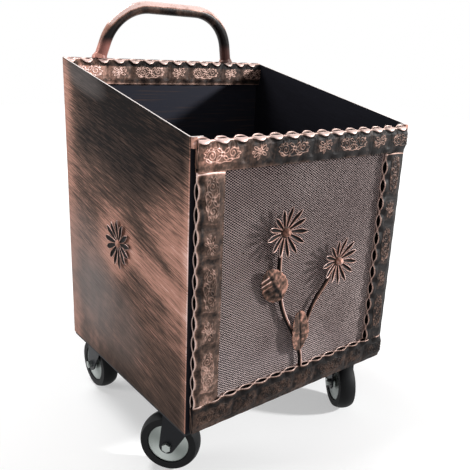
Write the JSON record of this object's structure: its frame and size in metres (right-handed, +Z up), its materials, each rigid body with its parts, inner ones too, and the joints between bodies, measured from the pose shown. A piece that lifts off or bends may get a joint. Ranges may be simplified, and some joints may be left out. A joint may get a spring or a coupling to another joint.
{
  "type": "log cart",
  "caption": "Open metal log box on swivel casters, with embossed crimped bands round a mesh front, wrought daisies and a round bar handle at the back.",
  "frame": {"origin": "on the ground, at the centre of the whole cart's bounding box", "axes": "+Z up, -Y towards the mesh front, +X to the right seen from the front"},
  "size_m": [0.4752, 0.4414, 0.7386],
  "materials": {
    "copper_black": "black paint brushed with copper, satin",
    "black_paint": "black paint, satin",
    "mesh": "diamond mesh, painted, satin",
    "fork_paint": "black paint, satin",
    "zinc": "zinc plated",
    "tyre": "black rubber, matt"
  },
  "bodies": {
    "cart": {"left_side_panel": "copper_black", "right_side_panel": "copper_black", "back_panel": "black_paint", "floor_panel": "black_paint", "base_frame": "black_paint", "front_band_top": "copper_black", "front_band_bottom": "copper_black", "front_band_left": "copper_black", "front_band_right": "copper_black", "back_band": "copper_black", "corner_tabs": "copper_black", "front_mesh": "mesh", "handle": "copper_black", "stem_left": "copper_black", "stem_right": "copper_black", "leaf_upper": "copper_black", "leaf_lower": "copper_black", "daisy_left_petals": "copper_black", "daisy_left_boss": "copper_black", "daisy_right_petals": "copper_black", "daisy_right_boss": "copper_black", "side_daisy_left_petals": "copper_black", "side_daisy_left_boss": "copper_black", "side_daisy_right_petals": "copper_black", "side_daisy_right_boss": "copper_black", "caster_pads": "black_paint", "caster_bolts": "zinc", "caster_plate_fl": "fork_paint", "caster_plate_fr": "fork_paint", "caster_plate_rl": "fork_paint", "caster_plate_rr": "fork_paint"},
    "fork_fl": {"fork_fl": "fork_paint", "axle_bolt_fl": "zinc", "axle_nut_fl": "zinc", "bush_fl": "zinc"},
    "wheel_fl": {"rim_fl": "zinc", "tyre_fl": "tyre"},
    "fork_fr": {"fork_fr": "fork_paint", "axle_bolt_fr": "zinc", "axle_nut_fr": "zinc", "bush_fr": "zinc"},
    "wheel_fr": {"rim_fr": "zinc", "tyre_fr": "tyre"},
    "fork_rl": {"fork_rl": "fork_paint", "axle_bolt_rl": "zinc", "axle_nut_rl": "zinc", "bush_rl": "zinc"},
    "wheel_rl": {"rim_rl": "zinc", "tyre_rl": "tyre"},
    "fork_rr": {"fork_rr": "fork_paint", "axle_bolt_rr": "zinc", "axle_nut_rr": "zinc", "bush_rr": "zinc"},
    "wheel_rr": {"rim_rr": "zinc", "tyre_rr": "tyre"}
  },
  "joints": [
    {"name": "swivel_fl", "type": "hinge", "parent": "cart", "child": "fork_fl", "pos_m": [-0.181, -0.13835, 0.11], "axis": [0, 0, 1], "continuous": true},
    {"name": "wheel_fl", "type": "hinge", "parent": "fork_fl", "child": "wheel_fl", "pos_m": [-0.19609, -0.12099, 0.05], "axis": [0.7547, 0.6561, 0], "continuous": true},
    {"name": "swivel_fr", "type": "hinge", "parent": "cart", "child": "fork_fr", "pos_m": [0.181, -0.13835, 0.11], "axis": [0, 0, 1], "continuous": true},
    {"name": "wheel_fr", "type": "hinge", "parent": "fork_fr", "child": "wheel_fr", "pos_m": [0.16985, -0.15847, 0.05], "axis": [-0.8746, 0.4848, 0], "continuous": true},
    {"name": "swivel_rl", "type": "hinge", "parent": "cart", "child": "fork_rl", "pos_m": [-0.181, 0.14765, 0.11], "axis": [0, 0, 1], "continuous": true},
    {"name": "wheel_rl", "type": "hinge", "parent": "fork_rl", "child": "wheel_rl", "pos_m": [-0.181, 0.17065, 0.05], "axis": [1, 0, 0], "continuous": true},
    {"name": "swivel_rr", "type": "hinge", "parent": "cart", "child": "fork_rr", "pos_m": [0.181, 0.14765, 0.11], "axis": [0, 0, 1], "continuous": true},
    {"name": "wheel_rr", "type": "hinge", "parent": "fork_rr", "child": "wheel_rr", "pos_m": [0.19609, 0.16501, 0.05], "axis": [0.7547, -0.6561, 0], "continuous": true}
  ]
}
